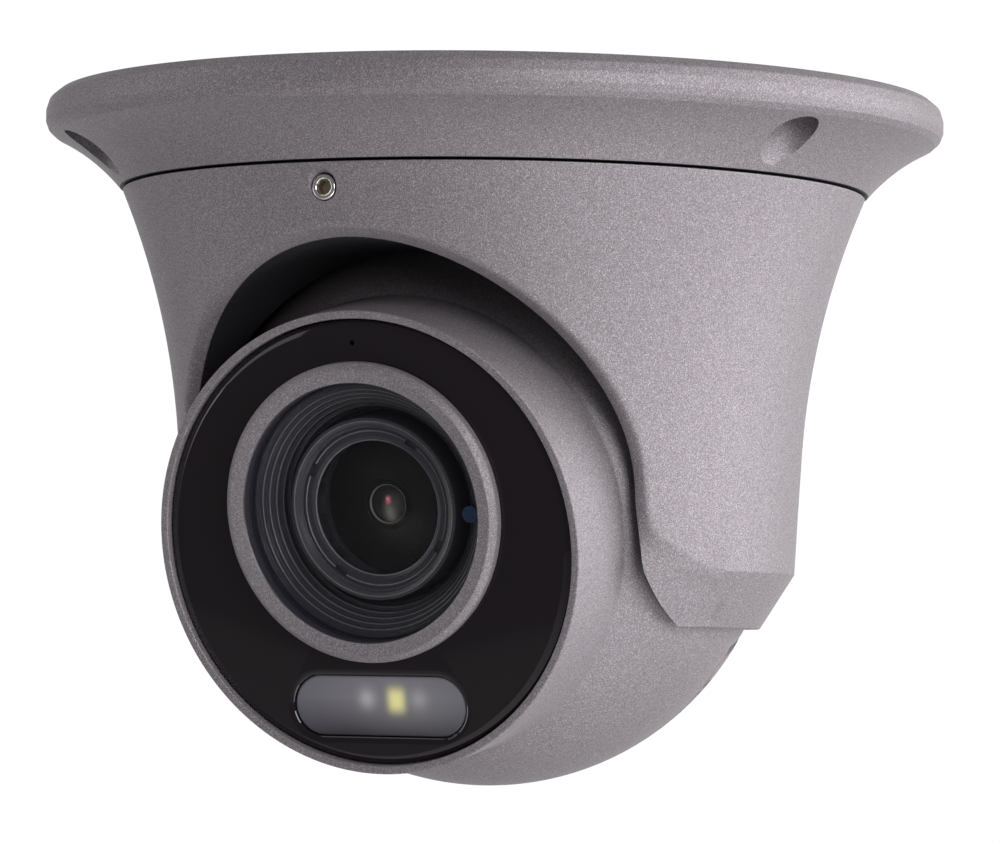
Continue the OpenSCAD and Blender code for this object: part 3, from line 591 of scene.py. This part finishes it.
screw_hole = Matrix.Translation((0, 0, LOCK_Z)) @ facing_front
hole_rings = [round_ring(r, z, 40)
              for r, z in ((2.05, 50), (2.05, 57.2), (2.12, 57.8), (2.3, 58.4), (2.9, 60))]
hole = lofted("screw_hole", hole_rings, world_frame @ screw_hole, (paint, inside), (1, 0, 0, 0))
cut(cover, arch, hole)
stands_for(cover, "cover", "graphite_paint", "trim_cover")

# black collar that leads from the arch's edge back to the eyeball
COLLAR_WALL, COLLAR_FROM, COLLAR_SPAN, COLLAR_STEPS = 0.9, 8, 164, 80
COLLAR_SEAT_R, COLLAR_SINK = 47.7, 2.7
COLLAR_OUT = ARCH_IN + COLLAR_WALL
collar_rings = []
for radius, on_seat in ((ARCH_IN, False), (ARCH_IN, True), (COLLAR_OUT, True), (COLLAR_OUT, False)):
    ring = []
    for k in range(COLLAR_STEPS + 1):
        t = math.radians(COLLAR_FROM + COLLAR_SPAN * k / COLLAR_STEPS)
        x, z = radius * math.cos(t), BALL_Z + radius * math.sin(t)
        depth = math.sqrt(COLLAR_SEAT_R ** 2 - radius ** 2) if on_seat else front(x, z) - COLLAR_SINK
        ring.append((x, -depth, z))
    collar_rings.append(ring)
bm = bmesh.new()
made = [[bm.verts.new(p) for p in ring] for ring in collar_rings]
for i in range(4):
    a, b = made[i], made[(i + 1) % 4]
    for j in range(COLLAR_STEPS):
        bm.faces.new((a[j], a[j + 1], b[j + 1], b[j]))
for j in (0, COLLAR_STEPS):
    bm.faces.new([ring[j] for ring in made])
bmesh.ops.recalc_face_normals(bm, faces=bm.faces)
data = bpy.data.meshes.new("arch_collar")
bm.to_mesh(data)
bm.free()
collar_black = plastic("collar_black", (0.020, 0.019, 0.023), 0.42)
collar = link_mesh("arch_collar", data, arch_frame, (collar_black,))
soften(collar)
edge_round = collar.modifiers.new("edge", "BEVEL")
edge_round.width = 0.00022
edge_round.segments = 3
edge_round.limit_method = "ANGLE"
stands_for(collar, "cover", "black_plastic")

# lock screw with a domed rim and a hexagon socket
screw_place = world_frame @ Matrix.Translation((0, -LOCK_OUT, LOCK_Z)) @ facing_front
steel = metal("screw_rim", (0.86, 0.83, 0.80), 0.20, (1, 1, 1))
socket = metal("screw_socket", (0.42, 0.36, 0.30), 0.38, (1, 1, 1))
screw = turned("lock_screw_body", [
    (0.01, 0, 0, 0), (1.2, 0, 0.1, 0), (1.98, 0.8, 0.1, 0), (1.98, 4.68, 0.55, 0), (1.30, 4.68, 0.30, 0),
    (1.14, 4.25, 0, 1), (0.01, 4.25, 0, 1)], screw_place, (steel, socket), 96, 6)
hexagon = lofted("hexagon", [round_ring(1.16, z, 6) for z in (2.9, 6)], screw_place, (steel, socket), (1,))
for poly in hexagon.data.polygons:
    poly.material_index = 1
cut(screw, hexagon)
stands_for(screw, "cover", "steel_screw", "lock_screw")

# ---------------------------------------------------------------- eyeball shell

BALL = 46.1
BALL_BACK, BALL_FRONT = -37, 26.6       # where the hub's flat and the snout end the sphere


def ball_radius(z):
    """Outside radius of the eyeball at z along its axis."""
    return math.sqrt(BALL ** 2 - z ** 2)


shell = [(6.5, -41.2, 0.3, 0), (9.95, -41.2, 0.4, 0), (9.95, BALL_BACK, 0.3, 0)]
shell.append((ball_radius(BALL_BACK), BALL_BACK, 0.5, 0))
for k in range(1, 60):
    z = BALL_BACK + (BALL_FRONT - BALL_BACK) * k / 60
    shell.append((ball_radius(z), z, 0, 0))
shell += [(ball_radius(BALL_FRONT), BALL_FRONT, 0, 0), (36.62, 28.0, 1.6, 0), (36.5, 31.5, 0, 0),
          (36.2, 43.0, 0, 0), (36.2, 43.7, 0.42, 0), (34.9, 43.7, 0.30, 0),
          (34.9, 41.0, 0.1, 1), (33.0, 41.0, 0.2, 1), (33.0, 26, 0, 1), (37.5, 22, 0, 1), (43.5, 0, 0, 1),
          (37.5, -22, 0, 1), (26.0, -34.0, 0, 1), (6.5, -34.0, 0, 1)]
eye = turned("eyeball_body", shell, eye_frame, (paint, inside), 384, 4)
bay = [slab_ring(20.5, 13.1, 3.2, z) for z in (42.9, 50)]
bay_tool = lofted("bay", bay, service_frame, (paint, inside), (1,))
notch_place = service_frame @ Matrix.Translation((-3.4, 7.45, 0))
notch = lofted("notch", [slab_ring(10, 2.3, 0.3, z, 3) for z in (44.3, 50)], notch_place, (inside,), (0,))
cut(eye, bay_tool, notch)
stands_for(eye, "eyeball", "graphite_paint", "eyeball_shell")

# ---------------------------------------------------------------- front glass, ring and lens

dark_glass = (looks["dark_glass"],)
glass = turned("front_glass", [
    (16.0, 41.4, 0, 0), (16.0, 43.2, 0, 0), (33.4, 43.2, 0.12, 0), (34.5, 42.70, 0.05, 0),
    (34.69, 42.2, 0.05, 0), (34.7, 41.9, 0, 0), (34.7, 41.4, 0.1, 0)], eye_frame, dark_glass, 320, 5)
ring_rings = [round_ring(22.6, z, 128, 0, LENS_UP) for z in (30, 60)]
ring_hole = lofted("ring_hole", ring_rings, eye_frame, dark_glass, (0,))
window_place = eye_frame @ Matrix.Translation((0, -25.6, 0))
lamp_cut = [pill_ring(l, w, z) for l, w, z in (
    (29.72, 9.52, 40), (29.72, 9.52, 42.55), (29.78, 9.58, 42.72), (29.95, 9.75, 42.88), (30.2, 10.0, 43.0),
    (30.6, 10.4, 43.1), (31.1, 10.9, 43.16), (31.8, 11.6, 43.2), (32.0, 11.8, 43.4))]
lamp_tool = lofted("lamp_cut", lamp_cut, window_place, dark_glass)
mic_cut = [round_ring(r, z, 24, 0, 31.1) for r, z in ((0.38, 38), (0.38, 43.1), (0.44, 43.3))]
mic_tool = lofted("mic_cut", mic_cut, eye_frame, dark_glass)
cut(glass, ring_hole, lamp_tool, mic_tool)
soften(glass, 4.5)      # keeps the polished face flat round its openings
stands_for(glass, "eyeball", "dark_glass", "face_glass")

lens_black = looks["black_lens_metal"]
raised = turned("raised_ring", [
    (20.1, 37.6, 0, 0), (21.5, 37.6, 0, 0), (21.5, 43.25, 0, 0), (23.4, 43.25, 0.15, 0),
    (23.4, 44.6, 0.8, 0), (22.4, 45.6, 0.35, 0), (20.3, 45.02, 0.16, 1), (20.12, 44.8, 0.05, 1),
    (20.1, 43.6, 0, 1), (20.6, 43.6, 0, 1), (20.6, 42.2, 0, 1), (20.1, 42.2, 0, 1)],
    lens_frame, (paint, lens_black), 256, 5)
stands_for(raised, "eyeball", "graphite_paint", "lens_ring")

# the baffle steps down towards the lens; each step's top edge takes a painted highlight, a pale grey standing
# in for the light that edge catches
r, z = 19.4, 42.2
steps = [(15.0, 34.2, 0, 0), (16.4, 34.2, 0, 0), (16.4, 36.4, 0, 0), (20.0, 37.6, 0, 0), (20.0, z, 0.1, 0)]
steps.append((r, z, 0.1, 0))
for k in range(5):
    steps += [(r - 0.10, z - 0.80, 0.05, 0), (r - 0.58, z - 0.84, 0.04, 1), (r - 0.68, z - 0.90, 0.04, 0)]
    r, z = r - 0.74, z - 0.88
    steps.append((r, z - 0.10, 0.03, 0))
steps += [(15.5, 37.2, 0.05, 0), (15.1, 36.9, 0.1, 0)]
# painted highlight: pale grey for edges of the baffle, barrel and clamp, in place of the light they catch
edge_highlight = plastic("painted_edge_highlight", (0.15, 0.15, 0.165), 0.28, 2600, 0.05)
funnel = turned("stepped_baffle", steps, lens_frame, (lens_black, edge_highlight), 192, 3)
sensor_cut = [round_ring(1.35, z, 32, 16.8, -0.8) for z in (35, 44)]
sensor_tool = lofted("sensor_cut", sensor_cut, lens_frame, (lens_black,), (0,))
cut(funnel, sensor_tool)
stands_for(funnel, "eyeball", "black_lens_metal", "lens_baffle")

barrel_black = plastic("barrel_black", (0.046, 0.044, 0.054), 0.34, 2600, 0.10)
# painted highlight: the band at the front face's inner edge takes the pale edge material
barrel = turned("lens_barrel_front", [
    (11.4, 31.5, 0, 0), (14.6, 31.5, 0.2, 0), (14.6, 33, 0.2, 0), (14.3, 33.4, 0.2, 0), (14.3, 40.5, 0.25, 0),
    (13.75, 40.5, 0.05, 1), (13.6, 40.42, 0.05, 0), (13.15, 40.2, 0.08, 0), (12.9, 39.7, 0.1, 0),
    (12.6, 39.6, 0.1, 0), (12.6, 34.6, 0, 0), (11.4, 34.6, 0, 0)],
    lens_frame, (barrel_black, edge_highlight), 192, 4)
stands_for(barrel, "eyeball", "black_lens_metal", "lens_barrel")

# painted highlight: the clamp's two inner edges take the pale edge material
clamp = turned("element_clamp", [
    (11.1, 38.45, 0, 0), (12.58, 38.45, 0.05, 0), (12.58, 39.5, 0.12, 0), (12.15, 39.5, 0.04, 1),
    (12.0, 39.38, 0.04, 0), (11.2, 39.38, 0.08, 0), (10.68, 39.1, 0.03, 1), (10.5, 38.98, 0.04, 0),
    (10.5, 38.75, 0.03, 0)], lens_frame, (lens_black, edge_highlight), 192, 4)
slots = []
for turn in (150, 235, 330, 55):
    place = lens_frame @ Matrix.Rotation(math.radians(turn), 4, "Z") @ Matrix.Translation((12.3, 0, 0))
    slot = [slab_ring(1.5, 2.2, 0.2, z, 3) for z in (38.9, 41)]
    slots.append(lofted("slot", slot, place, (lens_black,), (0,)))
cut(clamp, *slots)
stands_for(clamp, "eyeball", "black_lens_metal", "lens_retaining_ring")

cell_black = plastic("lens_cell", (0.014, 0.014, 0.013), 0.34, 900, 0.01)
cell = turned("front_group_cell", [
    (11.3, 32.7, 0, 0), (11.3, 33.3, 0.1, 0), (7.0, 34.3, 0.2, 0), (4.2, 34.75, 0.1, 0),
    (4.2, 35.05, 0.08, 0), (3.9, 35.12, 0.06, 0), (3.75, 34.8, 0.05, 0), (3.35, 34.8, 0.05, 0),
    (3.35, 35.28, 0.07, 0), (3.12, 35.34, 0.06, 0), (3.02, 35.05, 0.03, 0), (3.0, 33.4, 0, 0),
    (6, 32.7, 0, 0)], lens_frame, (cell_black,), 160, 3)
stands_for(cell, "eyeball", "black_lens_metal")

DOME_R, DOME_Z, DOME_RISE, DOME_STEPS = 3.0, 34.8, 0.55, 9
dome = [(0.001, 34.2, 0, 0), (DOME_R, 34.2, 0, 0), (DOME_R, DOME_Z, 0, 0)]
for k in range(1, DOME_STEPS + 1):
    r = DOME_R * (1 - k / DOME_STEPS) + 0.001
    dome.append((r, DOME_Z + DOME_RISE * (1 - (r / DOME_R) ** 2), 0, 0))
inner_lens = turned("inner_lens", dome, world_frame, (pupil_look(),), 64, 1)
inner_lens.matrix_world = lens_frame @ Matrix.Scale(1 / MM, 4)
stands_for(inner_lens, "eyeball", "lens_glass")
# painted highlight: the inner lens's rim is pale grey to draw the thin light line its edge catches; the part
# is black lens metal
rim_highlight = plastic("lens_rim", (0.42, 0.42, 0.38), 0.25)
rim = turned("inner_lens_rim", [
    (3.02, 34.95, 0, 0), (3.16, 35.30, 0.03, 0), (3.10, 35.36, 0.03, 0), (2.95, 35.12, 0, 0)],
    lens_frame, (rim_highlight,), 128, 3)
stands_for(rim, "eyeball", "black_lens_metal")

# ---------------------------------------------------------------- lamp window

window_rings = [pill_ring(l, w, z) for l, w, z in (
    (29.5, 9.3, 41.4), (29.6, 9.4, 41.5), (29.6, 9.4, 42.55), (29.45, 9.25, 42.70), (29.1, 8.9, 42.82),
    (28.6, 8.4, 42.85))]
window = lofted("lamp_window", window_rings, world_frame, (lamp_window_look(),), (0, 0, 0, 0, 0))
window.matrix_world = window_place @ Matrix.Scale(1 / MM, 4)
stands_for(window, "eyeball", "frosted_window", "led_window")

# ---------------------------------------------------------------- studio


def square(name, half, z, mat):
    """A flat square of the given half width."""
    data = bpy.data.meshes.new(name)
    corners = [(-half, -half, z), (half, -half, z), (half, half, z), (-half, half, z)]
    data.from_pydata(corners, [], [(0, 1, 2, 3)])
    data.materials.append(mat)
    obj = bpy.data.objects.new(name, data)
    scene.collection.objects.link(obj)
    return obj


floor = square("floor", 3, -1.3, plastic("floor_white", (0.80, 0.80, 0.80), 0.9, 30, 0.02).mat)
white = Look("backdrop_white", (0, 0, 0), 1.0, specular=0)
white.set(**{"Emission Color": (1, 1, 1, 1), "Emission Strength": 1.02})
card = square("backdrop", 1, 0, white.mat)
card.matrix_world = Matrix.Translation(look_at - back * 2.3) @ pose.to_3x3().to_4x4()

world = bpy.data.worlds.new("studio")
world.use_nodes = True
tree = world.node_tree
sky = tree.nodes["Background"]
direction = tree.nodes.new("ShaderNodeTexCoord")
facing = tree.nodes.new("ShaderNodeVectorMath")
facing.operation = "DOT_PRODUCT"
facing.inputs[1].default_value = tuple(-back)
ramp = tree.nodes.new("ShaderNodeMapRange")
ramp.interpolation_type = "SMOOTHSTEP"
for key, number in (("From Min", -0.05), ("From Max", 0.80), ("To Min", 0.16), ("To Max", 0.50)):
    ramp.inputs[key].default_value = number
tree.links.new(direction.outputs["Generated"], facing.inputs[0])
tree.links.new(facing.outputs["Value"], ramp.inputs["Value"])
tree.links.new(ramp.outputs["Result"], sky.inputs["Strength"])
sky.inputs["Color"].default_value = (1, 0.985, 1, 1)
scene.world = world


def soft_light(name, turn, rise, distance, width, height, power):
    """A soft box aimed at the camera's target; turn is to the camera's right, rise above level."""
    a = TURN + math.radians(turn)
    e = math.radians(rise)
    way = Vector((math.sin(a) * math.cos(e), -math.cos(a) * math.cos(e), math.sin(e)))
    data = bpy.data.lights.new(name, "AREA")
    data.shape = "RECTANGLE"
    data.size, data.size_y, data.energy = width, height, power
    obj = bpy.data.objects.new(name, data)
    scene.collection.objects.link(obj)
    facing_object = way.to_track_quat("Z", "Y").to_matrix().to_4x4()
    obj.matrix_world = Matrix.Translation(look_at + way * distance) @ facing_object


soft_light("key_right", 93, 7, 1.3, 1.5, 1.5, 21)
soft_light("front", 32, 12, 1.5, 0.9, 0.8, 16)
soft_light("left_side", -98, 6, 1.4, 0.5, 1.5, 4.2)
soft_light("left_top", -80, 34, 1.4, 0.5, 1.1, 1.6)
soft_light("below_right", 50, -46, 1.2, 0.9, 0.9, 5.5)
